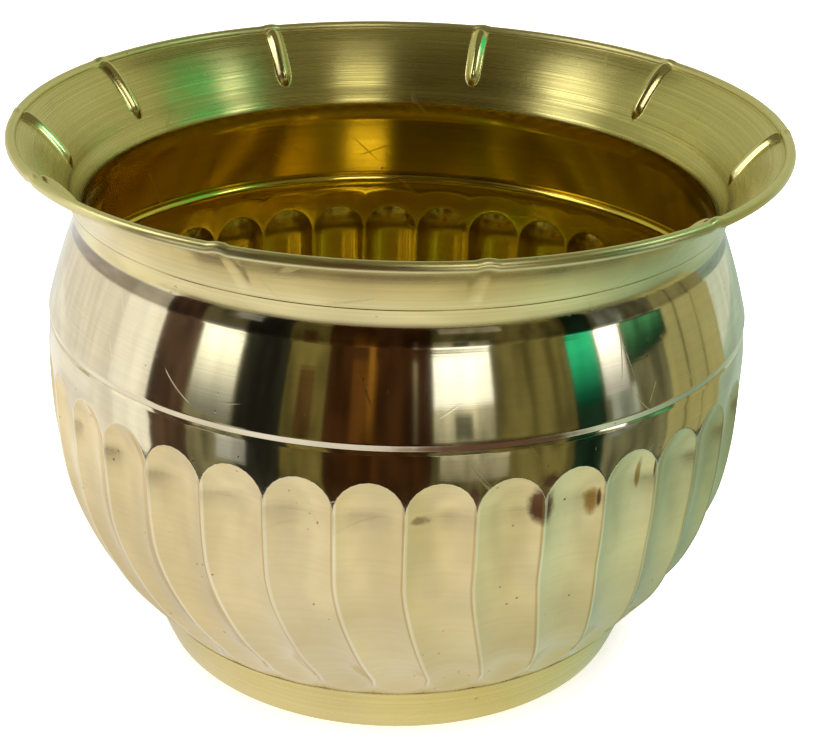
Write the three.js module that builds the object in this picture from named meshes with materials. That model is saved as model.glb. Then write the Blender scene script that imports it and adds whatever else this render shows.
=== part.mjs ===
// Brass kalash pot: a squat, wide-mouthed water pot made of four sheet-brass shells.
// The mouth collar laps into the shoulder, the shoulder laps over the fluted bowl, and the foot
// ring carries the bowl. Each seam keeps a narrow gap, which brazing filler fills on a real pot.
// Millimetres, +Z up, with the origin on the floor under the centre of the foot.

import * as THREE from "three";

// Driving dimensions
const sheet = 0.9;
const seamGap = 0.3;
const smoothColumns = 64;

const lip = { radius: 86.5, height: 124.1, beadDiameter: 2.4, flareInset: 2.5, flareDrop: 1.6 };
const neck = { radius: 72.2, height: 104, seamRadius: 73.9, seamHeight: 108.4, lap: 2.4 };
const belly = { radius: 79.3, seamHeight: 82, facetHeight: 1.5, facetDepth: 0.6, lap: 2.2 };
const crease = { radius: 59.4, height: 12.2 };
const foot = { radius: 54.7, hemWidth: 3.6, bend: 1.4, flangeWidth: 6, flangeDrop: 3.1 };
const floor = { height: 8.4, radius: 47 };

const flutes = {
  count: 35,
  columnsEach: 4,
  depth: 1.8,
  firstRidge: -88.3,
  top: 75.2,
  topStart: 68,
  bottom: 14.2,
  bottomStart: 19.5,
  swirl: 5.5,
  swirlStart: 51,
  swirlEnd: 20,
};

// The ten ribs were pressed one by one, so they aren't quite evenly spaced.
const ribs = {
  angles: [39, 76, 114, 149.5, 179.5, 210, 247, 281, 316, 359],
  height: 1.2,
  topHalfWidth: 2.7,
  bottomHalfWidth: 2.1,
  bottom: 110.6,
  endLength: 2.6,
  lipShare: 0.4,
  fadeWidth: 4,
  longestStep: 8,
};

const brass = { metalness: 1, side: THREE.FrontSide };
const finishes = {
  brushed: new THREE.MeshStandardMaterial({ ...brass, color: 0xbfae62, roughness: 0.28 }),
  polished: new THREE.MeshStandardMaterial({ ...brass, color: 0xc8b873, roughness: 0.1 }),
  satin: new THREE.MeshStandardMaterial({ ...brass, color: 0xd9cb92, roughness: 0.3 }),
  foot: new THREE.MeshStandardMaterial({ ...brass, color: 0xdcc98c, roughness: 0.35 }),
};

const point = (radius, height) => new THREE.Vector2(radius, height);
const radians = THREE.MathUtils.degToRad;

// A sheet's section: a drawn face, and the other face a sheet's thickness to the left of it.
// Each row keeps the direction through the sheet, so that pressed relief moves both faces alike.
function sheetSection(face) {
  const drawn = face.map((place, i) => {
    const before = face[Math.max(i - 1, 0)];
    const after = face[Math.min(i + 1, face.length - 1)];
    const along = after.clone().sub(before).normalize();
    return { place, through: point(-along.y, along.x), station: place };
  });
  const other = drawn.map((row) => ({
    ...row,
    place: row.place.clone().addScaledVector(row.through, sheet),
  }));
  return [...drawn, ...other.reverse()];
}

// Turns a section about the vertical axis, with one column of points at each angle.
// relief gives how far a point is pressed through the sheet, and turn moves its angle.
function spin(section, columns, relief = () => 0, turn = () => 0) {
  const onAxis = section[0].place.x === 0;
  const rows = onAxis ? section : [...section, section[0]];
  const outline = rows.map((row) => row.place);
  const geometry = new THREE.LatheGeometry(outline, columns.length);
  const position = geometry.getAttribute("position");
  for (let column = 0; column <= columns.length; column += 1) {
    const index = column % columns.length;
    rows.forEach((row, i) => {
      const pressed = relief(row.station, index);
      const radius = row.place.x + row.through.x * pressed;
      const angle = columns[index] + turn(row.station);
      position.setXYZ(
        column * rows.length + i,
        radius * Math.cos(angle),
        radius * Math.sin(angle),
        row.place.y + row.through.y * pressed,
      );
    });
  }
  geometry.computeVertexNormals();
  return geometry;
}

function evenColumns(count, start = 0) {
  return Array.from({ length: count }, (_, i) => start + (i * 2 * Math.PI) / count);
}

function piece(name, geometry, material) {
  const mesh = new THREE.Mesh(geometry, material);
  mesh.name = name;
  return mesh;
}

// Mouth collar: a short skirt inside the neck, then a trumpet that ends almost level under the
// rolled lip. Its inner face is drawn, from the lip down to the skirt's edge.
function collarFace() {
  const skirtRadius = neck.seamRadius - sheet - seamGap - sheet;
  const flareEnd = point(lip.radius - lip.flareInset, lip.height - lip.flareDrop);
  const flare = new THREE.CubicBezierCurve(
    flareEnd,
    point(flareEnd.x - 2.9, flareEnd.y - 0.5),
    point(flareEnd.x - 8.6, flareEnd.y - 7.9),
    point(neck.seamRadius - 0.5, neck.seamHeight + 1.8),
  );
  const places = [0, 0.12, 0.24, 0.38, 0.5, 0.62, 0.74, 0.87, 1];
  const skirt = [
    point(skirtRadius, neck.seamHeight + 0.5),
    point(skirtRadius - 0.9, neck.seamHeight - neck.lap),
  ];
  return [...places.map((t) => flare.getPoint(t)), ...skirt];
}

// The lip is rolled outwards into a bead, drawn from the flare's underside round to its inner
// face. Each row takes its direction through the sheet from the end of the flare.
function beadRows(flareEnd) {
  const radius = lip.beadDiameter / 2;
  return [-95, -50, -10, 30, 75, 120, 165].map((degrees) => ({
    place: point(
      lip.radius - radius + radius * Math.cos(radians(degrees)),
      lip.height - radius + radius * Math.sin(radians(degrees)),
    ),
    through: flareEnd.through,
    station: point(lip.radius, lip.height),
  }));
}

// Finer columns cross each rib, and the plain stretches between ribs get evenly spaced ones.
function collarColumns() {
  const halfAngle = ribs.topHalfWidth / lip.radius;
  const columns = [];
  ribs.angles.forEach((degrees, i) => {
    const centre = radians(degrees);
    const lastRib = i === ribs.angles.length - 1;
    const next = radians(lastRib ? ribs.angles[0] + 360 : ribs.angles[i + 1]);
    [-1, -0.5, 0, 0.5, 1].forEach((side) => columns.push(centre + side * halfAngle));
    const plain = next - centre - 2 * halfAngle;
    const steps = Math.ceil(plain / radians(ribs.longestStep));
    for (let step = 1; step < steps; step += 1) {
      columns.push(centre + halfAngle + (plain * step) / steps);
    }
  });
  return columns;
}

function makeCollar() {
  const columns = collarColumns();
  const raised = (station, column) => {
    const below = THREE.MathUtils.clamp((station.y - ribs.bottom) / ribs.endLength, 0, 1);
    const climb = (station.y - ribs.bottom) / (lip.height - ribs.bottom);
    const halfWidth = THREE.MathUtils.lerp(ribs.bottomHalfWidth, ribs.topHalfWidth, climb);
    const nearLip = THREE.MathUtils.clamp(1 - (lip.radius - station.x) / ribs.fadeWidth, 0, 1);
    const offsets = ribs.angles.map((degrees) => {
      const turn = columns[column] - radians(degrees);
      return Math.abs(Math.atan2(Math.sin(turn), Math.cos(turn))) * station.x;
    });
    const across = Math.min(1, Math.min(...offsets) / halfWidth);
    const height = ribs.height * THREE.MathUtils.lerp(1, ribs.lipShare, nearLip);
    return -height * Math.sqrt(below) * Math.cos((across * Math.PI) / 2) ** 2;
  };
  const section = sheetSection(collarFace());
  return spin([...section, ...beadRows(section[0])], columns, raised);
}

// Shoulder: a shell from the neck seam out to the belly, with a narrow facet turned under at
// its lower edge. Its outer face is drawn upwards.
function makeShoulder() {
  const dome = new THREE.SplineCurve([
    point(belly.radius, belly.seamHeight + belly.facetHeight),
    point(78.4, 86),
    point(75.6, 93.5),
    point(neck.radius + 1, 100.3),
    point(neck.radius, neck.height),
    point(neck.seamRadius, neck.seamHeight - seamGap),
  ]);
  const face = [point(belly.radius - belly.facetDepth, belly.seamHeight), ...dome.getPoints(9)];
  return spin(sheetSection(face), evenColumns(smoothColumns));
}

// How far a flute is pressed in. across is 0 along its middle and 1 at the ridges beside it, and
// both ends are rounded, so that each flute is a long scoop with an arched top.
function flutePress(height, across) {
  const overTop = (height - flutes.topStart) / (flutes.top - flutes.topStart);
  const underBottom = (flutes.bottomStart - height) / (flutes.bottomStart - flutes.bottom);
  const end = Math.max(overTop, underBottom, 0);
  return flutes.depth * Math.max(0, 1 - end ** 2 - across ** 2);
}

// The flutes run straight down the belly, then swing sideways as the wall turns under.
function fluteSwirl(height) {
  const fall = (flutes.swirlStart - height) / (flutes.swirlStart - flutes.swirlEnd);
  return radians(flutes.swirl) * THREE.MathUtils.clamp(fall, 0, 1) ** 1.5;
}

// Fluted bowl: flat floor, a corner over the foot, the fluted wall, a plain band and a rim
// that fits inside the shoulder. Its outer face is drawn, from the centre of the floor.
function makeBowl() {
  const rimRadius = belly.radius - belly.facetDepth - sheet - 0.4;
  const wall = new THREE.SplineCurve([
    point(crease.radius, crease.height),
    point(64.8, 18.7),
    point(69.9, 25.5),
    point(74.2, 34),
    point(77.6, 44),
    point(79.2, 53.5),
    point(79.9, 66),
    point(79.7, 76),
    point(belly.radius - 0.4, belly.seamHeight - 0.9),
  ]);
  const face = [
    point(0, floor.height),
    point(floor.radius, floor.height),
    point(floor.radius + 5, floor.height + 0.6),
    ...wall.getPoints(12),
    point(rimRadius, belly.seamHeight - 0.1),
    point(rimRadius, belly.seamHeight + belly.lap),
  ];
  const columns = evenColumns(flutes.count * flutes.columnsEach, radians(flutes.firstRidge));
  const pressed = (station, column) => {
    const along = (column % flutes.columnsEach) / flutes.columnsEach;
    return flutePress(station.y, Math.abs(2 * along - 1));
  };
  return spin(sheetSection(face), columns, pressed, (station) => fluteSwirl(station.y));
}

// Foot ring: a flat hem turned in on the floor, a flaring wall, and a flange turned in under
// the bowl's corner. Its outer face is drawn from the hem to the flange.
function makeFoot() {
  const top = point(crease.radius - 0.3, crease.height - 0.9);
  const outline = new THREE.Path()
    .moveTo(foot.radius - foot.hemWidth, 0)
    .lineTo(foot.radius - foot.bend, 0)
    .quadraticCurveTo(foot.radius, 0, foot.radius + foot.bend * 0.5, foot.bend)
    .quadraticCurveTo(foot.radius + 3.6, 7.4, top.x, top.y)
    .quadraticCurveTo(top.x + 0.1, top.y + 0.2, top.x - 0.4, top.y)
    .lineTo(top.x - foot.flangeWidth, top.y - foot.flangeDrop);
  return spin(sheetSection(outline.getPoints(2)), evenColumns(smoothColumns));
}

const kalash = new THREE.Group();
kalash.add(
  piece("rim_collar", makeCollar(), finishes.brushed),
  piece("shoulder", makeShoulder(), finishes.polished),
  piece("fluted_bowl", makeBowl(), finishes.satin),
  piece("foot_ring", makeFoot(), finishes.foot),
);

export default kalash;
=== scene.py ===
import math

import bmesh
import bpy
import numpy as np
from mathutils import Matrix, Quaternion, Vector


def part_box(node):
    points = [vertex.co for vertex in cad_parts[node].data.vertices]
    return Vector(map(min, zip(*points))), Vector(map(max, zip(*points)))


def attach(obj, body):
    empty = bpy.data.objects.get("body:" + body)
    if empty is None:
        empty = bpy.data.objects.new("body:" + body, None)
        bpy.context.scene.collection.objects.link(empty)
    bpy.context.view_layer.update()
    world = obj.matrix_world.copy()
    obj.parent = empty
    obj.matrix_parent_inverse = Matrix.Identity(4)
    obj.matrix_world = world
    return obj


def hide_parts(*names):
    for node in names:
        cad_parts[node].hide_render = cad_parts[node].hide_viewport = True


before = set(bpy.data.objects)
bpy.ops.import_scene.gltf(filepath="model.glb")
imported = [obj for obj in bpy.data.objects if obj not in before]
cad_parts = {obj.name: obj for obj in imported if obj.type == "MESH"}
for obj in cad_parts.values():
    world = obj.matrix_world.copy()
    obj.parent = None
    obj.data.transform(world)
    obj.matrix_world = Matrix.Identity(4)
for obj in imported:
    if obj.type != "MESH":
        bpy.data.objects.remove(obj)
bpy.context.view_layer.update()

# Brass kalash pot: four sheet-brass shells on a pale floor. Every length below is in millimetres
# of the design and is scaled by MM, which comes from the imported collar's width.

collar_low, collar_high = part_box("rim_collar")
# The collar's width in the design
DESIGN_WIDTH = 172.93
MM = (collar_high.x - collar_low.x) / DESIGN_WIDTH

# Driving dimensions
SHEET = 0.9
LIP = {"radius": 86.4, "height": 124.05, "bead": 2.4, "flare_inset": 2.5, "flare_drop": 1.6}
NECK = {"seam_radius": 73.9, "seam_height": 108.4, "lap": 2.4}
BELLY = {"radius": 79.3, "height": 82.0, "facet_height": 1.3, "facet_depth": 0.16, "lap": 2.2}
CREASE = {"radius": 59.4, "height": 12.2}
FOOT = {"radius": 54.7, "hem_width": 3.6, "bend": 1.4, "flange_width": 6.0, "flange_drop": 3.1}
FLOOR = {"radius": 47.0, "height": 8.4}
FLUTES = {
    "count": 35,
    "depth": 1.8,
    "first_ridge": -88.3,
    "top": 75.2,
    "top_start": 68.0,
    "bottom": 13.6,
    "bottom_start": 22.5,
    "swirl": 5.5,
    "swirl_start": 51.0,
    "swirl_end": 20.0,
    "edge_softness": 0.04,
}
RIBS = {
    "angles": [39, 76, 114, 149.5, 179.5, 210, 247, 281, 316, 359],
    "height": 1.3,
    "top_half_width": 2.3,
    "bottom_half_width": 1.8,
    "bottom": 110.6,
    "end_length": 3.4,
    "lip_height": 0.35,
    "fade_width": 3.0,
    "underside_share": 0.12,
}

# How far the camera is from the pot's axis and the floor, and how it is turned
CAMERA = {"back": 401.7, "up": 250.0, "pitch": 25.11, "turn": 0.67, "roll": 1.56, "lens": 81.39}


# The floor's reflection-only bands lie this far above it, in metres.
BAND_LIFT = 0.0004


# ---------------------------------------------------------------- outlines


def smooth(points, count):
    """A smooth curve through the points, as evenly spaced places along it."""
    knots = np.array(points, float)
    steps = np.linalg.norm(np.diff(knots, axis=0), axis=1)
    span = np.concatenate([[0.0], np.cumsum(steps)])
    slope = np.gradient(knots, span, axis=0)
    at = np.linspace(0, span[-1], count)
    i = np.clip(np.searchsorted(span, at, side="right") - 1, 0, len(steps) - 1)
    t = ((at - span[i]) / steps[i])[:, None]
    width = steps[i][:, None]
    start = (1 + 2 * t) * (1 - t) ** 2 * knots[i] + t * (1 - t) ** 2 * width * slope[i]
    end = t**2 * (3 - 2 * t) * knots[i + 1] + t**2 * (t - 1) * width * slope[i + 1]
    return start + end


def bezier(a, b, c, d, count):
    """A cubic curve from a to d, pulled towards b and c."""
    t = np.linspace(0, 1, count)[:, None]
    a, b, c, d = (np.array(p, float) for p in (a, b, c, d))
    return (1 - t) ** 3 * a + 3 * t * (1 - t) ** 2 * b + 3 * t**2 * (1 - t) * c + t**3 * d


def arc(start, tilt_from, tilt_to, radius, count):
    """An arc that climbs from start. Tilt is how far the face leans back, in degrees."""
    tilts = np.radians(np.linspace(tilt_from, tilt_to, count))
    turn = math.copysign(radius, tilt_to - tilt_from)
    across = start[0] + turn * (np.cos(tilts) - math.cos(tilts[0]))
    up = start[1] + turn * (np.sin(tilts) - math.sin(tilts[0]))
    return np.stack([across, up], axis=1)


def through(face):
    """At each place of a face, the direction to the left of its path, into the sheet."""
    along = np.gradient(face, axis=0)
    along /= np.linalg.norm(along, axis=1)[:, None]
    return np.stack([-along[:, 1], along[:, 0]], axis=1)


# ---------------------------------------------------------------- meshes


def grid_piece(name, radius, height, angle, node, materials, material_numbers):
    """A closed shell from a grid of rows and columns, in millimetres and radians. The last row
    joins the first one. material_numbers has one number for each row, or for each grid point."""
    rows, columns = radius.shape
    places = np.stack([radius * np.cos(angle), radius * np.sin(angle), height], axis=2) * MM
    row, column = np.meshgrid(np.arange(rows), np.arange(columns), indexing="ij")
    next_row = (row + 1) % rows
    next_column = (column + 1) % columns
    corners = [
        row * columns + column,
        row * columns + next_column,
        next_row * columns + next_column,
        next_row * columns + column,
    ]
    faces = np.stack(corners, axis=2)
    keep = [i for i in range(rows) if radius[i].max() + radius[(i + 1) % rows].max() > 0]
    faces = faces[keep].reshape(-1, 4)
    mesh = bpy.data.meshes.new(name)
    mesh.from_pydata(places.reshape(-1, 3).tolist(), [], faces.tolist())
    for material in materials:
        mesh.materials.append(material)
    numbers = np.broadcast_to(np.reshape(material_numbers, (rows, -1)), (rows, columns))[keep]
    mesh.polygons.foreach_set("material_index", numbers.ravel().astype(np.int32))
    piece = bpy.data.objects.new(name, mesh)
    bpy.context.scene.collection.objects.link(piece)
    close_centre(piece)
    mesh.shade_smooth()
    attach(piece, "root")
    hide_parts(node)
    return piece


def close_centre(piece):
    """Welds the points that meet on the axis, and turns every face outwards."""
    shell = bmesh.new()
    shell.from_mesh(piece.data)
    on_axis = [v for v in shell.verts if math.hypot(v.co.x, v.co.y) < 1e-7]
    bmesh.ops.remove_doubles(shell, verts=on_axis, dist=1e-6)
    bmesh.ops.recalc_face_normals(shell, faces=shell.faces)
    shell.to_mesh(piece.data)
    shell.free()


def even_angles(count):
    return np.arange(count) * 2 * math.pi / count


def spun_shell(name, face, other, columns, node, materials, pale_rows=0):
    """A plain shell between a drawn face and the other face of its sheet. The drawn face takes
    the first material and the other face the second. pale_rows is how many of the drawn face's
    last rows take the third."""
    section = np.concatenate([face, other[::-1]])
    ones = np.ones(columns)
    material_rows = [0] * (len(face) - pale_rows) + [2] * pale_rows + [1] * len(other)
    return grid_piece(
        name,
        section[:, 0][:, None] * ones,
        section[:, 1][:, None] * ones,
        np.ones(len(section))[:, None] * even_angles(columns),
        node,
        materials,
        material_rows,
    )


def make_shoulder(materials):
    """Facet at the belly line, a convex dome, a knee, a tight neck and the seam above it."""
    edge = (BELLY["radius"] - BELLY["facet_depth"], BELLY["height"])
    corner = (BELLY["radius"], BELLY["height"] + BELLY["facet_height"])
    facet = np.linspace(edge, corner, 6)
    turn = arc(corner, -7, 14.5, 1.2, 8)[1:]
    dome = arc(turn[-1], 14.5, 22.0, 141, 50)[1:]
    knee = arc(dome[-1], 22.0, 12.0, 2.3, 6)[1:]
    hollow = arc(knee[-1], 12.0, 0, 17.0, 12)[1:]
    seam_edge = (NECK["seam_radius"] + 0.23, NECK["seam_height"] + 1.27)
    seam = bezier(
        hollow[-1],
        (hollow[-1][0] + 0.05, hollow[-1][1] + 1.4),
        (seam_edge[0] - 0.45, seam_edge[1] - 0.9),
        seam_edge,
        14,
    )[1:]
    face = np.concatenate([facet, turn, dome, knee, hollow, seam])
    # The other face stops short of the seam's edge, which is thinned to close under the flare.
    thinned_rows = 8
    other = (face + through(face) * SHEET)[:-thinned_rows]
    return spun_shell(
        "shoulder_shell",
        face,
        other,
        288,
        "shoulder",
        materials,
        pale_rows=len(seam),
    )


def make_foot(materials):
    """A hem turned in on the floor, a flaring wall, and a flange turned in under the bowl."""
    hem_start = (FOOT["radius"] - FOOT["hem_width"], 0.0)
    hem_end = (FOOT["radius"] - FOOT["bend"], 0.0)
    bend_end = (FOOT["radius"] + FOOT["bend"] * 0.5, FOOT["bend"])
    top = (CREASE["radius"] - 0.1, CREASE["height"] - 0.26)
    hem = np.linspace(hem_start, hem_end, 4)
    bend = bezier(hem_end, (FOOT["radius"] - 0.3, 0), (FOOT["radius"] + 0.4, 0.5), bend_end, 8)[1:]
    pull = (FOOT["radius"] + 3.0, 7.4)
    wall = bezier(bend_end, (FOOT["radius"] + 2.0, 4.4), pull, top, 24)[1:]
    round_end = (top[0] - 0.45, top[1] - 0.42)
    round_top = bezier(top, (top[0], top[1] + 0.05), (top[0] - 0.1, top[1]), round_end, 7)[1:]
    flange_end = (top[0] - FOOT["flange_width"], top[1] - 0.64 - FOOT["flange_drop"])
    flange = np.linspace(round_top[-1], flange_end, 5)[1:]
    face = np.concatenate([hem, bend, wall, round_top, flange])
    # The other face has a square corner where the flange meets the wall. It would fold through
    # the outer face if it followed the tight bend at the top.
    corner_drop = 2.1
    corner_inset = 1.6
    outside = np.concatenate([hem, bend, wall])
    wall_back = outside + through(outside) * SHEET
    flange_back = flange + through(flange) * SHEET
    wall_back = wall_back[wall_back[:, 1] < top[1] - corner_drop]
    flange_back = flange_back[flange_back[:, 0] < top[0] - corner_inset]
    other = np.concatenate([wall_back, flange_back])
    return spun_shell("foot_shell", face, other, 256, "foot_ring", materials)


def wall_outline():
    """The bowl's outer wall without its flutes, from the foot crease to the belly seam."""
    points = [
        (CREASE["radius"], CREASE["height"]),
        (64.8, 18.7),
        (69.9, 25.5),
        (74.2, 34),
        (77.6, 44),
        (79.2, 53.5),
        (79.9, 66),
        (79.75, 75),
        (BELLY["radius"] - 0.16, BELLY["height"] - 0.9),
    ]
    return smooth(points, 400)


def flute_press(height, across):
    """How far a flute is pressed in. across is 0 along its middle and 1 at its ridges."""
    over_top = (height - FLUTES["top_start"]) / (FLUTES["top"] - FLUTES["top_start"])
    drop = FLUTES["bottom_start"] - FLUTES["bottom"]
    under_bottom = (FLUTES["bottom_start"] - height) / drop
    end = np.maximum(np.maximum(over_top, under_bottom), 0)
    scoop = 1 - end**2 - (1.02 * across) ** 2
    soft = FLUTES["edge_softness"]
    return FLUTES["depth"] * (scoop + np.sqrt(scoop**2 + soft**2)) / 2


def flute_swirl(height):
    """How far a flute has swung sideways at this height, in radians."""
    fall = (FLUTES["swirl_start"] - height) / (FLUTES["swirl_start"] - FLUTES["swirl_end"])
    return math.radians(FLUTES["swirl"]) * np.clip(fall, 0, 1) ** 1.5


def fluted_rows(across, levels):
    """Heights for a grid whose rows follow the rounded ends of the flutes.
    levels is how many rows lie below, along and above them."""
    below, along, above = levels
    arch = np.sqrt(1 - across**2)
    low = FLUTES["bottom_start"] - (FLUTES["bottom_start"] - FLUTES["bottom"]) * arch
    high = FLUTES["top_start"] + (FLUTES["top"] - FLUTES["top_start"]) * arch
    start = CREASE["height"] + 0.05
    finish = BELLY["height"] - 0.95
    lower = [start + (low - start) * (1 - (1 - t) ** 2) for t in np.linspace(0, 1, below)]
    middle = [low + (high - low) * (1 - math.cos(math.pi * t)) / 2 for t in np.linspace(0, 1, along)]
    upper = [high + (finish - high) * t**2 for t in np.linspace(0, 1, above)]
    return np.array(lower[:-1] + middle + upper[1:])


def bowl_face(across, angle, levels, depth, plain_start, plain_end):
    """One face of the bowl as a grid: plain rows, fluted rows, then plain rows to the rim.
    depth is how far this face lies inside the outer one."""
    outline = wall_outline()
    inward = through(outline)
    heights = fluted_rows(across, levels)
    radius = np.interp(heights, outline[:, 1], outline[:, 0])
    inward_radius = np.interp(heights, outline[:, 1], inward[:, 0])
    inward_height = np.interp(heights, outline[:, 1], inward[:, 1])
    pressed = depth + flute_press(heights, np.abs(across))
    angles = angle + flute_swirl(heights)
    ones = np.ones(len(across))
    base_angles = angle + flute_swirl(0.0)
    start_radius = plain_start[:, 0][:, None] * ones
    start_height = plain_start[:, 1][:, None] * ones
    start_angle = np.ones(len(plain_start))[:, None] * base_angles
    end_radius = plain_end[:, 0][:, None] * ones
    end_height = plain_end[:, 1][:, None] * ones
    end_angle = np.ones(len(plain_end))[:, None] * angle
    return (
        np.concatenate([start_radius, radius + inward_radius * pressed, end_radius]),
        np.concatenate([start_height, heights + inward_height * pressed, end_height]),
        np.concatenate([start_angle, angles, end_angle]),
    )


def make_bowl(materials):
    """Flat floor, a corner over the foot, the fluted wall, a plain band and the rim."""
    cells = 12
    pitch = 2 * math.pi / FLUTES["count"]
    across = -np.cos(math.pi * np.arange(cells) / cells)
    angle = np.concatenate([
        math.radians(FLUTES["first_ridge"]) + pitch * (flute + (across + 1) / 2)
        for flute in range(FLUTES["count"])
    ])
    across = np.tile(across, FLUTES["count"])
    rim_radius = BELLY["radius"] - SHEET - 0.36
    floor = np.array([(0.0, 0.0), (12.0, 0.0), (25.0, 0.0), (36.0, 0.0), (FLOOR["radius"], 0.0)])
    floor[:, 1] = FLOOR["height"]
    corner_mid = (FLOOR["radius"] + 5, FLOOR["height"] + 0.6)
    corner = smooth([floor[-1], corner_mid, (57.6, 11.0), (CREASE["radius"], CREASE["height"])], 9)
    outer_start = np.concatenate([floor, corner[1:-1]])
    rim_foot = (rim_radius, BELLY["height"] - 0.1)
    wall_end = (BELLY["radius"] - 0.17, BELLY["height"] - 0.88)
    rim_end = (rim_radius, BELLY["height"] + BELLY["lap"])
    outer_end = np.array([wall_end, rim_foot, rim_end])
    inner_start = outer_start + through(outer_start) * SHEET
    inner_start[0][0] = 0.0
    rim_top = (rim_radius - SHEET, BELLY["height"] + BELLY["lap"])
    inner_end = np.array([(rim_radius - SHEET, BELLY["height"] - 0.3), rim_top])
    levels = (7, 74, 11)
    outer = bowl_face(across, angle, levels, 0.0, outer_start, outer_end)
    inner = bowl_face(across, angle, (5, 60, 7), SHEET, inner_start, inner_end)
    radius, height, turn = (np.concatenate([a, b[::-1]]) for a, b in zip(outer, inner))
    fluted = len(outer_start) + levels[0] + levels[1] - 2
    plain = len(outer[0]) - fluted - 1
    material_rows = [0] * fluted + [2] * plain + [1] * (len(inner[0]) + 1)
    return grid_piece(
        "bowl_shell", radius, height, turn, "fluted_bowl", materials, material_rows
    )


def rib_columns():
    """Angles that are close together across each rib and evenly spaced between ribs."""
    half = 1.15 * RIBS["top_half_width"] / LIP["radius"]
    centres = np.radians(RIBS["angles"])
    following = np.append(centres[1:], centres[0] + 2 * math.pi)
    columns = []
    for centre, after in zip(centres, following):
        columns.append(centre + half * np.linspace(-1, 1, 17))
        plain = after - centre - 2 * half
        steps = math.ceil(plain / math.radians(1.8))
        columns.append(centre + half + plain * np.arange(1, steps) / steps)
    return np.concatenate(columns)


def rib_rise(radius, height, angle):
    """How far the ribs stand up from the flare's inner face at each point of a grid."""
    climb = np.clip((height - RIBS["bottom"]) / (LIP["height"] - RIBS["bottom"]), 0, 1)
    growth = RIBS["top_half_width"] - RIBS["bottom_half_width"]
    half_width = RIBS["bottom_half_width"] + growth * climb
    near_end = np.clip((RIBS["bottom"] + RIBS["end_length"] - height) / RIBS["end_length"], 0, 1)
    nearest = np.full(angle.shape, np.inf)
    for degrees in RIBS["angles"]:
        turn = angle - math.radians(degrees)
        aside = np.abs(np.arctan2(np.sin(turn), np.cos(turn))) * radius
        nearest = np.minimum(nearest, aside)
    reach = np.sqrt((nearest / half_width) ** 2 + near_end**2)
    near_lip = np.clip(1 - (LIP["radius"] - radius) / RIBS["fade_width"], 0, 1)
    tallest = RIBS["height"] + (RIBS["lip_height"] - RIBS["height"]) * near_lip
    return tallest * np.cos(np.clip(reach, 0, 1) * math.pi / 2) ** 1.2


def make_collar(materials):
    """A skirt inside the neck and a trumpet that ends almost level inside a rolled lip."""
    flare_end = (LIP["radius"] - LIP["flare_inset"], LIP["height"] - LIP["flare_drop"])
    neck_top = (NECK["seam_radius"] - 0.5, NECK["seam_height"] + 1.8)
    pull_out = (flare_end[0] - 2.9, flare_end[1] - 0.5)
    pull_down = (flare_end[0] - 8.6, flare_end[1] - 7.9)
    flare = bezier(flare_end, pull_out, pull_down, neck_top, 56)
    skirt_radius = NECK["seam_radius"] - 2 * SHEET - 0.6
    skirt_top = (skirt_radius, NECK["seam_height"] - 0.4)
    skirt_end = (skirt_radius - 0.6, NECK["seam_height"] - NECK["lap"])
    throat_end = (skirt_end[0], skirt_end[1] + 1.4)
    throat = bezier(neck_top, (neck_top[0] - 0.5, neck_top[1] - 1.1), throat_end, skirt_end, 14)[1:]
    face = np.concatenate([flare, throat])
    outward = through(face)

    # The underside follows the flare, then steps in to clear the shoulder's edge.
    other = flare + outward[: len(flare)] * SHEET
    step_start = (other[-1][0] - 0.25, other[-1][1] - 0.55)
    step_end = (skirt_radius + SHEET, skirt_top[1] + 1.0)
    step = bezier(other[-1], step_start, step_end, (skirt_radius + SHEET, skirt_top[1]), 10)[1:]
    other = np.concatenate([other, step, [(skirt_end[0] + SHEET, skirt_end[1])]])
    other_station = np.concatenate([flare, np.repeat(flare[-1:], len(other) - len(flare), axis=0)])
    flare_outward = outward[: len(flare)]
    step_outward = np.repeat(flare_outward[-1:], len(other) - len(flare), axis=0)
    other_outward = np.concatenate([flare_outward, step_outward])

    # The bead is drawn from the flare's underside round to its inner face.
    bead_turn = np.radians(np.linspace(-95, 198, 26))
    bead_radius = LIP["bead"] / 2
    bead_across = LIP["radius"] - bead_radius + bead_radius * np.cos(bead_turn)
    bead_up = LIP["height"] - bead_radius + bead_radius * np.sin(bead_turn)
    bead = np.stack([bead_across, bead_up], axis=1)
    section = np.concatenate([face, other[::-1], bead])
    lift = np.concatenate([outward, other_outward[::-1], np.repeat(outward[:1], len(bead), axis=0)])
    lip_station = np.full((len(bead), 2), (LIP["radius"], LIP["height"]))
    station = np.concatenate([face, other_station[::-1], lip_station])
    # The ribs show in full inside and at the lip, and only faintly down the underside.
    inside = np.ones(len(face))
    underside = 1 - (1 - RIBS["underside_share"]) * np.linspace(1, 0, len(other)) ** 0.15
    share = np.concatenate([inside, underside, np.ones(len(bead))])

    columns = rib_columns()
    ones = np.ones(len(columns))
    angle = np.ones(len(section))[:, None] * columns
    rise = rib_rise(station[:, 0][:, None] * ones, station[:, 1][:, None] * ones, angle)
    rise *= share[:, None]
    radius = section[:, 0][:, None] - lift[:, 0][:, None] * rise
    height = section[:, 1][:, None] - lift[:, 1][:, None] * rise
    material_rows = np.repeat([0, 1, 2], [len(face), len(other), len(bead)])
    numbers = np.where((rise > 0.12) & (material_rows[:, None] == 0), 3, material_rows[:, None])
    return grid_piece(
        "collar_shell", radius, height, angle, "rim_collar", materials, numbers
    )


# ---------------------------------------------------------------- materials


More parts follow.
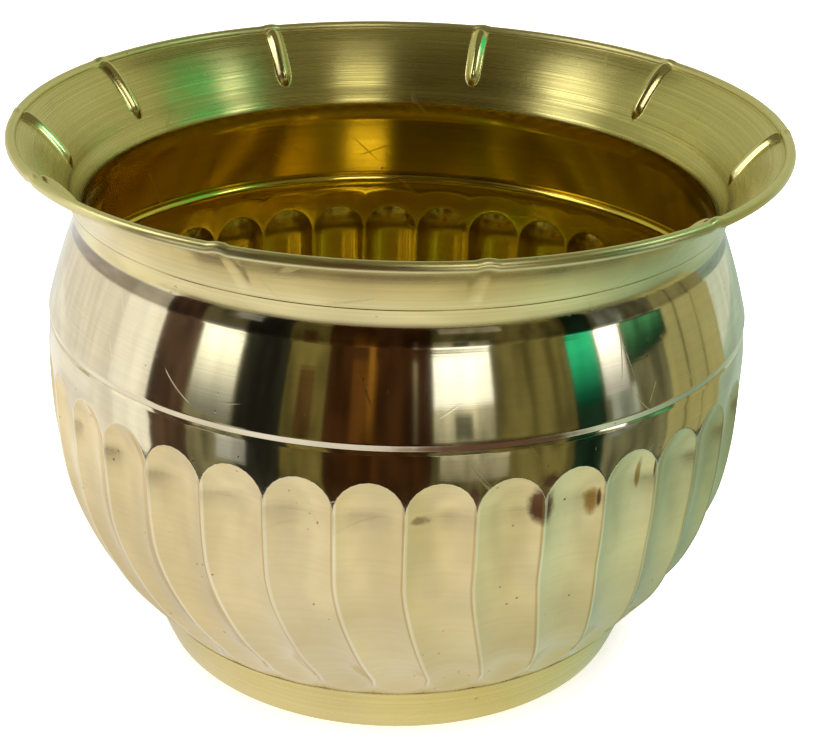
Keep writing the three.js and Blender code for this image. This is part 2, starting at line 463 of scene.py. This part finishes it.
class Nodes:
    """Short names for the few node kinds that the brass materials share."""

    def __init__(self, tree):
        self.tree = tree

    def add(self, kind, **values):
        node = self.tree.nodes.new(kind)
        for name, value in values.items():
            setattr(node, name, value)
        return node

    def feed(self, socket, value):
        if isinstance(value, bpy.types.NodeSocket):
            self.tree.links.new(value, socket)
        else:
            socket.default_value = value

    def math(self, operation, a, b=0.0, clamp=False):
        node = self.add("ShaderNodeMath", operation=operation, use_clamp=clamp)
        self.feed(node.inputs[0], a)
        self.feed(node.inputs[1], b)
        return node.outputs[0]

    def length(self, a, b):
        squares = (self.math("MULTIPLY", a, a), self.math("MULTIPLY", b, b))
        return self.math("SQRT", self.math("ADD", *squares))

    def span(self, value, low, high, to_low, to_high):
        node = self.add("ShaderNodeMapRange", interpolation_type="SMOOTHSTEP")
        for socket, item in zip(node.inputs[:5], (value, low, high, to_low, to_high)):
            self.feed(socket, item)
        return node.outputs[0]

    def mix(self, factor, a, b, blend="MIX"):
        node = self.add("ShaderNodeMix", data_type="RGBA", blend_type=blend)
        self.feed(node.inputs[0], factor)
        self.feed(node.inputs[6], a)
        self.feed(node.inputs[7], b)
        return node.outputs[2]

    def vector(self, x, y, z):
        node = self.add("ShaderNodeCombineXYZ")
        for socket, item in zip(node.inputs, (x, y, z)):
            self.feed(socket, item)
        return node.outputs[0]

    def split(self, vector):
        node = self.add("ShaderNodeSeparateXYZ")
        self.feed(node.inputs[0], vector)
        return tuple(node.outputs)

    def object_place(self):
        return self.add("ShaderNodeTexCoord").outputs["Object"]

    def noise(self, vector, scale, detail=3.0, roughness=0.5):
        node = self.add("ShaderNodeTexNoise")
        self.feed(node.inputs["Vector"], vector)
        self.feed(node.inputs["Scale"], scale)
        self.feed(node.inputs["Detail"], detail)
        self.feed(node.inputs["Roughness"], roughness)
        return node.outputs[0]

    def cells(self, vector, scale):
        node = self.add("ShaderNodeTexVoronoi")
        self.feed(node.inputs["Vector"], vector)
        self.feed(node.inputs["Scale"], scale)
        return node.outputs["Distance"]


def stretched(nodes, x, y, path, across, along):
    """Coordinates stretched so that noise on them runs level round the pot."""
    return nodes.vector(
        nodes.math("MULTIPLY", x, across),
        nodes.math("MULTIPLY", y, across),
        nodes.math("MULTIPLY", path, along),
    )


def pit_marks(nodes, place, strength):
    """Small round pits, gathered in a few places."""
    chosen = nodes.span(nodes.noise(place, 90.0, 1.0), 0.56, 0.6, 0.0, strength)
    return nodes.math("MULTIPLY", nodes.span(nodes.cells(place, 330.0), 0.05, 0.13, 1.0, 0.0), chosen)


def hairlines(nodes, place, strength):
    """Fine scratches in three directions, in patches."""
    lines = 0.0
    for turn, stretch in ((0.5, 900.0), (-0.9, 760.0), (1.9, 840.0)):
        slanted = nodes.add("ShaderNodeVectorRotate", rotation_type="EULER_XYZ")
        nodes.feed(slanted.inputs["Vector"], place)
        slanted.inputs["Rotation"].default_value = (turn, 0.6 * turn, 1.3 * turn)
        squeezed = nodes.add("ShaderNodeVectorMath", operation="MULTIPLY")
        nodes.feed(squeezed.inputs[0], slanted.outputs[0])
        squeezed.inputs[1].default_value = (stretch, 22.0, 22.0)
        line = nodes.span(nodes.noise(squeezed.outputs[0], 1.0, 1.0), 0.7, 0.73, 0.0, 1.0)
        lines = nodes.math("MAXIMUM", lines, line)
    patch = nodes.span(nodes.noise(place, 55.0, 2.0), 0.5, 0.62, 0.0, strength)
    return nodes.math("MULTIPLY", lines, patch)


def surface_mark(angle, height, width, length, slant=0.0, bend=0.0, ragged=0.0, strength=1.0, colour=None):
    """A stain or a scratch on the outside: angle and slant in degrees, and the rest of its size
    in millimetres. bend and ragged are shares of its width."""
    return {
        "angle": angle,
        "height": height,
        "width": width,
        "length": length,
        "slant": slant,
        "bend": bend,
        "ragged": ragged,
        "strength": strength,
        "colour": colour,
    }


def spot(nodes, polar, mark, wobble):
    """How deep inside a mark each point is: 1 in its middle and 0 outside it."""
    angle, radius, z = polar
    aside = nodes.math("MULTIPLY", nodes.math("SUBTRACT", angle, math.radians(mark["angle"])), radius)
    away = nodes.math("SUBTRACT", z, mark["height"] * MM)
    slant = math.radians(mark["slant"])
    across = nodes.math(
        "SUBTRACT",
        nodes.math("MULTIPLY", aside, math.cos(slant) / (mark["width"] * MM)),
        nodes.math("MULTIPLY", away, math.sin(slant) / (mark["width"] * MM)),
    )
    along = nodes.math(
        "ADD",
        nodes.math("MULTIPLY", aside, math.sin(slant) / (mark["length"] * MM)),
        nodes.math("MULTIPLY", away, math.cos(slant) / (mark["length"] * MM)),
    )
    bend = nodes.math("MULTIPLY", nodes.math("MULTIPLY", along, along), mark["bend"])
    across = nodes.math("SUBTRACT", across, bend)
    reach = nodes.length(across, along)
    shaken = nodes.math("MULTIPLY", nodes.math("SUBTRACT", wobble, 0.5), mark["ragged"])
    return nodes.span(nodes.math("ADD", reach, shaken), 0.4, 1.1, 1.0, 0.0)


def ridge_highlight_and_shade(nodes, polar, colour):
    """A gold-brown line of painted shade on one side of each flute's ridge, and a cream line of
    painted highlight on the other. Both follow the swing of the flutes."""
    angle, radius, z = polar
    reach = (FLUTES["swirl_start"] - FLUTES["swirl_end"]) * MM
    fall = nodes.math("SUBTRACT", FLUTES["swirl_start"] * MM, z)
    fall = nodes.math("DIVIDE", fall, reach, clamp=True)
    swing = nodes.math("MULTIPLY", nodes.math("POWER", fall, 1.5), math.radians(FLUTES["swirl"]))
    turned = nodes.math("SUBTRACT", angle, swing)
    turned = nodes.math("SUBTRACT", turned, math.radians(FLUTES["first_ridge"]))
    pitch = 2 * math.pi / FLUTES["count"]
    flute = nodes.math("DIVIDE", turned, pitch)
    share = nodes.math("SUBTRACT", flute, nodes.math("ROUND", flute))
    aside = nodes.math("MULTIPLY", nodes.math("MULTIPLY", share, pitch), radius)
    low = nodes.span(z, 15.5 * MM, 19 * MM, 0.0, 1.0)
    high = nodes.span(z, 69 * MM, 72.5 * MM, 1.0, 0.0)
    within = nodes.math("MULTIPLY", low, high)
    # Painted shade: a gold-brown line on one side of the ridge.
    before = nodes.math("ABSOLUTE", nodes.math("ADD", aside, 0.28 * MM))
    before = nodes.math("MULTIPLY", nodes.span(before, 0.0, 0.42 * MM, 0.5, 0.0), within)
    # Painted highlight: a cream line on the other side of the ridge.
    after = nodes.math("ABSOLUTE", nodes.math("SUBTRACT", aside, 0.3 * MM))
    after = nodes.math("MULTIPLY", nodes.span(after, 0.1 * MM, 0.5 * MM, 0.55, 0.0), within)
    colour = nodes.mix(before, colour, (*RIDGE_SHADE_BROWN, 1))
    return nodes.mix(after, colour, (*RIDGE_HIGHLIGHT_CREAM, 1))


def shade_and_patina_rings(nodes, z, drift, colour, rings):
    """Painted shade and dark patina all round the pot at each ring's height."""
    for ring in rings:
        away = nodes.math("ABSOLUTE", nodes.math("SUBTRACT", z, ring["height"] * MM))
        width = ring["width"] * MM
        amount = nodes.span(away, 0.6 * width, width, ring["strength"], 0.0)
        amount = nodes.math("MULTIPLY", amount, nodes.span(drift, 0.3, 0.65, 0.6, 1.0))
        colour = nodes.mix(amount, colour, (*ring["colour"], 1))
    return colour


def sheet_colour(nodes, tints, drift, mottle, streak):
    """Two tints that drift into each other, with mottling and streaks along the brushing."""
    tint, deep_tint = ((*colour, 1) for colour in tints)
    colour = nodes.mix(nodes.span(drift, 0.35, 0.7, 0.0, 0.55), tint, deep_tint)
    colour = nodes.mix(nodes.span(mottle, 0.45, 0.75, 0.0, 0.18), colour, deep_tint)
    return nodes.mix(1.0, colour, nodes.vector(streak, streak, streak), "MULTIPLY")


def brass(
    name,
    tints,
    roughness,
    brushing,
    anisotropic,
    pits,
    scratches,
    lean=0.0,
    stains=(),
    scores=(),
    rings=(),
    fluted=False,
):
    """Brass sheet with brushing that runs level round the pot, colour drift, pits and scratches.
    brushing, pits and scratches are strengths from 0 to 1. lean is how far the face leans out,
    so that brushing on a flare keeps its spacing. Stains have a colour, scores are single bright
    scratches, and a fluted sheet has lines of painted shade and painted highlight along its ridges."""
    material = bpy.data.materials.new(name)
    material.use_nodes = True
    nodes = Nodes(material.node_tree)
    shader = material.node_tree.nodes["Principled BSDF"]
    place = nodes.object_place()
    x, y, z = nodes.split(place)
    radius = nodes.length(x, y)
    polar = (nodes.math("ARCTAN2", y, x), radius, z)
    path = nodes.math("ADD", z, nodes.math("MULTIPLY", radius, lean))

    fine = nodes.noise(stretched(nodes, x, y, path, 10, 4200), 1.0, 2.0)
    broad = nodes.noise(stretched(nodes, x, y, path, 7, 1300), 1.0, 2.0)
    drift = nodes.noise(place, 26.0, 4.0, 0.6)
    mottle = nodes.noise(place, 140.0, 4.0, 0.6)
    streak = nodes.span(broad, 0.3, 0.7, 1.0 - 0.1 * brushing, 1.0 + 0.06 * brushing)
    colour = sheet_colour(nodes, tints, drift, mottle, streak)

    pit = pit_marks(nodes, place, pits)
    colour = nodes.mix(nodes.math("MULTIPLY", pit, 0.75), colour, (*PIT_BROWN, 1))
    scratch = hairlines(nodes, place, scratches)
    for score in scores:
        bright = nodes.math("MULTIPLY", spot(nodes, polar, score, mottle), 2.0)
        scratch = nodes.math("MAXIMUM", scratch, bright)

    smoothest = roughness * (1 - 0.25 * brushing)
    rough = nodes.span(fine, 0.25, 0.75, smoothest, roughness * (1 + 0.3 * brushing))
    rough = nodes.math("ADD", rough, nodes.span(mottle, 0.4, 0.7, 0.0, 0.05 * roughness))
    rough = nodes.math("ADD", rough, nodes.math("MULTIPLY", scratch, 0.3))
    for stain in stains:
        amount = nodes.math("MULTIPLY", spot(nodes, polar, stain, mottle), stain["strength"])
        colour = nodes.mix(amount, colour, (*stain["colour"], 1))
        rough = nodes.math("ADD", rough, nodes.math("MULTIPLY", amount, 0.15))
    if fluted:
        # Painted shade and painted highlight lines along the flute ridges.
        colour = ridge_highlight_and_shade(nodes, polar, colour)
    # Painted shade and patina in rings round the pot.
    colour = shade_and_patina_rings(nodes, z, drift, colour, rings)

    grain = nodes.math("ADD", fine, nodes.math("MULTIPLY", broad, 0.5))
    relief = nodes.math("MULTIPLY", grain, brushing)
    relief = nodes.math("SUBTRACT", relief, nodes.math("MULTIPLY", pit, 3.0))
    relief = nodes.math("SUBTRACT", relief, nodes.math("MULTIPLY", scratch, 1.5))
    bump = nodes.add("ShaderNodeBump")
    bump.inputs["Strength"].default_value = 0.35
    bump.inputs["Distance"].default_value = 0.00003
    nodes.feed(bump.inputs["Height"], relief)

    tangent = nodes.add("ShaderNodeTangent", direction_type="RADIAL", axis="Z")
    nodes.feed(shader.inputs["Base Color"], colour)
    nodes.feed(shader.inputs["Roughness"], rough)
    nodes.feed(shader.inputs["Normal"], bump.outputs[0])
    nodes.feed(shader.inputs["Tangent"], tangent.outputs[0])
    shader.inputs["Metallic"].default_value = 1.0
    shader.inputs["Anisotropic"].default_value = anisotropic
    shader.inputs["Anisotropic Rotation"].default_value = 0.25
    return material


def glow(name, colour, strength):
    material = bpy.data.materials.new(name)
    material.use_nodes = True
    tree = material.node_tree
    tree.nodes.clear()
    emission = tree.nodes.new("ShaderNodeEmission")
    emission.inputs["Color"].default_value = (*colour, 1)
    emission.inputs["Strength"].default_value = strength
    output = tree.nodes.new("ShaderNodeOutputMaterial")
    tree.links.new(emission.outputs[0], output.inputs["Surface"])
    return material


def paper_glow(stops):
    """The lit paper as the pot mirrors it. Each stop is an azimuth in degrees and a colour."""
    material = glow("paper_glow", (1, 1, 1), 1.0)
    nodes = Nodes(material.node_tree)
    emission = material.node_tree.nodes["Emission"]
    place = nodes.object_place()
    x, y, _ = nodes.split(place)
    turn = nodes.math("ARCTAN2", x, nodes.math("MULTIPLY", y, -1.0))
    share = nodes.math("ADD", nodes.math("DIVIDE", turn, 2 * math.pi), 0.5)
    ramp = nodes.add("ShaderNodeValToRGB")
    nodes.feed(ramp.inputs[0], share)
    while len(ramp.color_ramp.elements) < len(stops):
        ramp.color_ramp.elements.new(0.5)
    for element, (azimuth, colour) in zip(ramp.color_ramp.elements, stops):
        element.position = (azimuth + 90) / 360 + 0.5
        element.color = (*colour, 1)
    distance = nodes.add("ShaderNodeVectorMath", operation="LENGTH")
    nodes.feed(distance.inputs[0], place)
    nodes.feed(emission.inputs["Color"], ramp.outputs[0])
    # Painted shadow: the paper's glow is weaker near the pot, where the pot shades it.
    pot_shadow = nodes.span(distance.outputs["Value"], 0.055, 0.12, 0.84, 1.0)
    clouds = nodes.span(nodes.noise(place, 13.0, 2.0), 0.35, 0.65, 0.92, 1.14)
    nodes.feed(emission.inputs["Strength"], nodes.math("MULTIPLY", pot_shadow, clouds))
    return material


# ---------------------------------------------------------------- stage


def paper_floor():
    """A plain pale paper floor, with a faint grain."""
    material = bpy.data.materials.new("pale_paper")
    material.use_nodes = True
    nodes = Nodes(material.node_tree)
    shader = material.node_tree.nodes["Principled BSDF"]
    grain = nodes.span(nodes.noise(nodes.object_place(), 900.0, 2.0), 0.3, 0.7, 0.0, 1.0)
    colour = nodes.mix(grain, (0.9, 0.89, 0.87, 1), (0.93, 0.92, 0.9, 1))
    nodes.feed(shader.inputs["Base Color"], colour)
    shader.inputs["Roughness"].default_value = 0.9
    shader.inputs["Emission Color"].default_value = (1.0, 1.0, 1.0, 1)
    shader.inputs["Emission Strength"].default_value = 0.4
    bpy.ops.mesh.primitive_plane_add(size=9.0, location=(0, 1.5, 0))
    floor = bpy.context.object
    floor.name = "paper_floor"
    floor.data.materials.append(material)


def reflection_only(thing):
    """The pot reflects this, and nothing else in the scene is changed by it."""
    thing.visible_camera = False
    thing.visible_diffuse = False
    thing.visible_shadow = False
    thing.visible_transmission = False
    thing.visible_volume_scatter = False


def card_glow(name, heights, colour, strength, low_share):
    """A card's light: weaker towards its lower edge, and uneven, like a cluttered wall."""
    material = glow(name, colour, strength)
    nodes = Nodes(material.node_tree)
    emission = material.node_tree.nodes["Emission"]
    x, y, z = nodes.split(nodes.object_place())
    rise = nodes.span(z, heights[0], heights[1], low_share, 1.0)
    unevenness = 0.45 if strength < 0.7 else 0.1
    clutter = nodes.noise(stretched(nodes, x, y, z, 70, 16), 1.0, 3.0)
    clutter = nodes.span(clutter, 0.3, 0.7, 1 - unevenness, 1 + unevenness)
    share = nodes.math("MULTIPLY", rise, clutter)
    nodes.feed(emission.inputs["Strength"], nodes.math("MULTIPLY", share, strength))
    return material


def reflection_strip(name, lower, upper, material):
    """A strip of faces between two rows of places, which only the pot's reflections show."""
    count = len(lower)
    faces = [(i, i + 1, count + i + 1, count + i) for i in range(count - 1)]
    mesh = bpy.data.meshes.new(name)
    mesh.from_pydata([*lower, *upper], [], faces)
    mesh.materials.append(material)
    strip = bpy.data.objects.new(name, mesh)
    bpy.context.scene.collection.objects.link(strip)
    reflection_only(strip)


def curved_card(name, azimuths, heights, distance, colour, strength, low_share):
    """An upright card that bends round the pot, from one azimuth and height to another."""
    count = max(2, math.ceil(abs(azimuths[1] - azimuths[0]) / 3))
    angles = np.radians(np.linspace(azimuths[0], azimuths[1], count))
    lower, upper = (
        [(distance * math.cos(a), distance * math.sin(a), height) for a in angles]
        for height in heights
    )
    reflection_strip(name, lower, upper, card_glow(name, heights, colour, strength, low_share))


def floor_band(name, azimuths, radii, material):
    """A flat band on the floor round the pot, from one azimuth and radius to another."""
    count = math.ceil((azimuths[1] - azimuths[0]) / 3) + 1
    angles = np.radians(np.linspace(azimuths[0], azimuths[1], count))
    inner, outer = ([(r * math.cos(a), r * math.sin(a), BAND_LIFT) for a in angles] for r in radii)
    reflection_strip(name, inner, outer, material)


def make_paper():
    """The lit paper that the pot mirrors. It is brighter and warmer on the left, and on the
    camera's side it ends at a dark table edge."""
    stops = [
        (-270, (0.78, 0.83, 0.77)),
        (-200, (0.94, 0.9, 0.88)),
        (-163, (0.88, 0.84, 0.84)),
        (-94, (0.88, 0.85, 0.83)),
        (-65, (0.72, 0.71, 0.59)),
        (-34, (0.56, 0.67, 0.58)),
        (2, (0.28, 0.41, 0.33)),
        (60, (0.48, 0.58, 0.48)),
        (90, (0.78, 0.83, 0.77)),
    ]
    paper = paper_glow(stops)
    table = glow("table_edge", (0.2, 0.12, 0.08), 0.2)
    floor_band("paper_near", (-180, 180), (0.05, 0.2), paper)
    floor_band("paper_behind_pot", (14, 190), (0.2, 0.6), paper)
    floor_band("table_edge", (-170, 14), (0.2, 0.23), table)


def make_room():
    """What the polished brass mirrors: a dim room with windows on the camera's side, and pale
    paper behind. Azimuths are in degrees from +X, distances and heights in metres."""
    bpy.ops.mesh.primitive_uv_sphere_add(radius=1.6, segments=48, ring_count=24)
    dome = bpy.context.object
    dome.name = "room_dome"
    dome.data.materials.append(glow("room_dome", (0.5, 0.45, 0.22), 0.36))
    reflection_only(dome)
    high = (0.0, 0.24)
    cards = [
        # name, azimuths, heights, distance, colour, strength, share of it at the lower edge
        ("paper_right", (16, 90), (0.0, 0.13), 0.45, (0.86, 0.96, 0.82), 0.75, 1.0),
        ("paper_left", (90, 190), (0.0, 0.13), 0.45, (1.0, 0.96, 0.92), 0.88, 1.0),
        ("wall_behind", (16, 190), (0.13, 0.55), 0.45, (0.75, 0.77, 0.5), 0.72, 1.0),
        ("pale_left", (-182, -172), (0.0, 0.16), 0.21, (1.0, 0.96, 0.92), 0.9, 1.0),
        ("bright_strip", (-172, -157), high, 0.21, (1.0, 0.98, 0.96), 1.15, 0.9),
        ("wall_maroon", (-157, -144.5), high, 0.21, (0.5, 0.3, 0.2), 0.2, 0.9),
        ("wall_left", (-144.5, -130.5), high, 0.21, (0.45, 0.42, 0.25), 0.4, 1.0),
        ("window_left", (-143.5, -131), (0.082, 0.138), 0.205, (1.0, 1.0, 0.92), 1.9, 0.12),
        ("pale_jug", (-135, -127), (0.03, 0.062), 0.204, (0.85, 0.87, 0.85), 0.55, 0.6),
        ("wall_black", (-130.5, -118), high, 0.21, (0.1, 0.1, 0.07), 0.2, 1.0),
        ("wall_olive", (-118, -107.5), high, 0.21, (0.42, 0.34, 0.1), 0.37, 0.9),
        ("olive_shadow", (-114.5, -110.5), (0.07, 0.13), 0.206, (0.4, 0.22, 0.07), 0.22, 1.0),
        ("wall_brown", (-107.5, -81), high, 0.21, (0.3, 0.12, 0.04), 0.16, 0.8),
        ("orange_light", (-101, -94.5), (0.03, 0.14), 0.206, (0.5, 0.2, 0.04), 0.2, 0.5),
        ("orange_streak", (-96.9, -95.4), (0.07, 0.15), 0.205, (0.8, 0.36, 0.05), 0.3, 0.4),
        ("cream_frame", (-85.6, -84.6), (0.085, 0.14), 0.205, (1.0, 0.8, 0.5), 0.22, 0.3),
        ("wall_front", (-81, -64), high, 0.21, (0.42, 0.38, 0.15), 0.3, 0.8),
        ("window_front", (-80.6, -65.7), (0.109, 0.144), 0.205, (1.0, 1.0, 0.97), 1.9, 0.75),
        ("window_sill", (-80.6, -65.7), (0.086, 0.109), 0.205, (1.0, 0.95, 0.7), 0.66, 0.6),
        ("sill_box", (-75.6, -71.2), (0.089, 0.105), 0.204, (0.5, 0.52, 0.36), 0.26, 1.0),
        ("low_patch", (-79, -62), (0.03, 0.062), 0.205, (0.9, 0.84, 0.6), 0.5, 0.5),
        ("wall_olive_right", (-64, -44), high, 0.21, (0.42, 0.36, 0.12), 0.36, 0.95),
        ("curtain_green", (-44, -35.5), (0.09, 0.135), 0.206, (0.03, 0.6, 0.3), 1.15, 0.05),
        ("curtain_shade", (-44, -35.5), high, 0.21, (0.03, 0.09, 0.05), 0.3, 1.0),
        ("wall_right", (-35.5, -12), high, 0.21, (0.42, 0.42, 0.25), 0.4, 0.9),
        ("window_right", (-35, -27), (0.09, 0.14), 0.205, (1.0, 1.0, 1.0), 2.6, 0.2),
        ("window_right_low", (-34, -25), (0.04, 0.09), 0.205, (0.8, 0.9, 0.82), 0.42, 0.6),
        ("plant_green", (-26, -10), (0.1, 0.132), 0.205, (0.16, 0.62, 0.28), 0.55, 0.1),
        ("wall_side", (-12, 16), high, 0.21, (0.5, 0.48, 0.22), 0.8, 0.95),
        ("door_edge", (-4.4, -3.6), (0.0, 0.2), 0.209, (0.4, 0.34, 0.14), 0.3, 1.0),
        ("door_edge_right", (4.6, 5.2), (0.0, 0.2), 0.209, (0.4, 0.34, 0.14), 0.3, 1.0),
        ("high_window_left", (-184, -158), (0.22, 0.46), 0.245, (1.0, 0.97, 0.82), 3.0, 0.8),
        ("high_window_front", (-81, -60), (0.22, 0.43), 0.245, (1.0, 0.95, 0.74), 3.0, 0.9),
        ("high_curtain", (-22, 22), (0.22, 0.4), 0.246, (0.06, 0.8, 0.38), 1.1, 0.9),
        ("high_window_right", (-14, -5), (0.22, 0.38), 0.245, (0.95, 1.0, 0.95), 4.4, 0.9),
        ("high_shade", (-148, -84), (0.24, 0.9), 0.25, (0.3, 0.24, 0.1), 0.22, 1.0),
    ]
    for card in cards:
        curved_card(*card)


def area_light(name, place, aim, size, power, colour):
    lamp = bpy.data.lights.new(name, "AREA")
    lamp.shape = "RECTANGLE"
    lamp.size, lamp.size_y = size
    lamp.energy = power
    lamp.color = colour
    light = bpy.data.objects.new(name, lamp)
    bpy.context.scene.collection.objects.link(light)
    light.location = place
    towards = np.array(aim) - np.array(place)
    pitch = math.atan2(math.hypot(towards[0], towards[1]), -towards[2])
    turn = math.atan2(towards[1], towards[0]) - math.pi / 2
    light.rotation_euler = (pitch, 0, turn)
    light.visible_glossy = False


def make_lights():
    area_light("top_light", (0.0, 0.1, 1.6), (0, 0, 0), (2.4, 2.4), 78, (1.0, 0.99, 0.97))
    area_light("front_light", (-0.6, -1.6, 1.1), (0, 0, 0), (1.6, 1.2), 18, (1.0, 0.98, 0.95))
    world = bpy.data.worlds.new("soft_room")
    bpy.context.scene.world = world
    world.use_nodes = True
    world.node_tree.nodes["Background"].inputs["Color"].default_value = (0.95, 0.96, 1.0, 1)
    world.node_tree.nodes["Background"].inputs["Strength"].default_value = 0.6


def make_camera():
    data = bpy.data.cameras.new("camera")
    data.lens = CAMERA["lens"]
    data.sensor_width = 36
    camera = bpy.data.objects.new("camera", data)
    bpy.context.scene.collection.objects.link(camera)
    camera.location = (0, -CAMERA["back"] * MM, CAMERA["up"] * MM)
    camera.rotation_mode = "QUATERNION"
    turn = Quaternion((0, 0, 1), math.radians(-CAMERA["turn"]))
    pitch = Quaternion((1, 0, 0), math.radians(90 - CAMERA["pitch"]))
    roll = Quaternion((0, 0, 1), math.radians(CAMERA["roll"]))
    camera.rotation_quaternion = turn @ pitch @ roll
    bpy.context.scene.camera = camera


# ---------------------------------------------------------------- scene

GOLD = (0.72, 0.57, 0.11)
GOLD_DEEP = (0.58, 0.42, 0.06)
BROWN = (0.12, 0.04, 0.015)
AMBER = (0.42, 0.2, 0.02)
RUST = (0.2, 0.05, 0.03)
PIT_BROWN = (0.16, 0.09, 0.03)
# Colours of the painted shade and the painted highlight along the flute ridges.
RIDGE_SHADE_BROWN = (0.42, 0.27, 0.07)
RIDGE_HIGHLIGHT_CREAM = (0.97, 0.9, 0.66)

SCORES = [
    surface_mark(-124.0, 88.0, 0.13, 4.8, slant=-56, bend=4.0),
    surface_mark(-53.6, 96.0, 0.1, 5.5, slant=8, bend=-3.0),
    surface_mark(-52.4, 94.0, 0.09, 3.5, slant=-14),
    surface_mark(-50.6, 84.6, 0.1, 3.0, slant=-40, bend=3.0),
    surface_mark(-48.5, 86.5, 0.1, 2.4, slant=35),
    surface_mark(-29.0, 90.0, 0.09, 5.0, slant=-4, bend=2.0),
]
FLUTE_STAINS = [
    surface_mark(-68.2, 68.2, 3.0, 6.0, strength=0.93, colour=BROWN, ragged=1.8),
    surface_mark(-86.3, 66.6, 2.4, 1.2, strength=0.5, colour=BROWN, ragged=2.6),
    surface_mark(-59.6, 66.4, 1.9, 3.6, strength=0.8, colour=AMBER, ragged=2.0),
    surface_mark(-58.4, 66.8, 0.5, 2.4, strength=0.85, colour=BROWN, ragged=0.8),
    surface_mark(-50.4, 68.8, 0.7, 3.8, strength=0.75, colour=AMBER, ragged=1.6),
    surface_mark(-47.6, 70.0, 0.3, 3.6, strength=0.85, colour=BROWN, ragged=0.8),
]
# The first mark darkens a stretch of the belly line near the front; the other two are rust stains.
BELLY_MARKS = [
    surface_mark(-76, 82.7, 24, 1.5, strength=0.93, colour=BROWN, ragged=0.7),
    surface_mark(-67, 73.6, 3.8, 2.6, strength=0.8, colour=RUST, ragged=2.0),
    surface_mark(-78.5, 71.5, 1.4, 4.0, strength=0.8, colour=RUST, ragged=1.4),
]
# A dark ring in the neck's crease: painted shade, and patina.
NECK_SHADE_AND_PATINA = [{"height": 103.5, "width": 2.2, "strength": 0.72, "colour": (0.1, 0.06, 0.02)}]

polished = brass(
    "polished_brass",
    tints=((0.8, 0.74, 0.54), (0.77, 0.68, 0.43)),
    roughness=0.085,
    brushing=0.3,
    anisotropic=0.3,
    pits=0.5,
    scratches=0.6,
    scores=SCORES,
    stains=BELLY_MARKS,
    rings=NECK_SHADE_AND_PATINA,
)
satin = brass(
    "satin_brass",
    tints=((0.82, 0.7, 0.4), (0.69, 0.55, 0.25)),
    roughness=0.15,
    brushing=0.2,
    anisotropic=0.3,
    pits=0.9,
    scratches=0.1,
    stains=FLUTE_STAINS,
    fluted=True,
)
brushed = brass(
    "brushed_brass",
    tints=((0.68, 0.62, 0.27), (0.62, 0.54, 0.19)),
    roughness=0.28,
    brushing=1.0,
    anisotropic=0.95,
    pits=0.5,
    scratches=0.5,
    lean=0.9,
)
bead_brass = brass(
    "bead_brass",
    tints=((0.78, 0.72, 0.38), (0.72, 0.64, 0.3)),
    roughness=0.34,
    brushing=0.4,
    anisotropic=0.3,
    pits=0.4,
    scratches=0.4,
    lean=0.9,
)
rib_brass = brass(
    "rib_brass",
    tints=((0.74, 0.68, 0.36), (0.68, 0.6, 0.26)),
    roughness=0.16,
    brushing=0.4,
    anisotropic=0.3,
    pits=0.3,
    scratches=0.3,
    lean=0.9,
)
pale_outside = brass(
    "pale_flare_brass",
    tints=((0.82, 0.73, 0.38), (0.78, 0.67, 0.3)),
    roughness=0.2,
    brushing=0.5,
    anisotropic=0.4,
    pits=0.4,
    scratches=0.5,
    lean=0.9,
)
golden_inside = brass(
    "golden_inside_brass",
    tints=(GOLD, GOLD_DEEP),
    roughness=0.13,
    brushing=0.5,
    anisotropic=0.7,
    pits=0.6,
    scratches=0.4,
)
foot_brass = brass(
    "foot_brass",
    tints=((0.86, 0.73, 0.3), (0.78, 0.63, 0.2)),
    roughness=0.25,
    brushing=0.6,
    anisotropic=0.35,
    pits=0.7,
    scratches=0.4,
)

make_collar([brushed, pale_outside, bead_brass, rib_brass])
make_shoulder([polished, golden_inside, pale_outside])
make_bowl([satin, golden_inside, polished])
make_foot([foot_brass, golden_inside])
paper_floor()
make_paper()
make_room()
make_lights()
make_camera()
bpy.context.scene.view_settings.view_transform = "Standard"
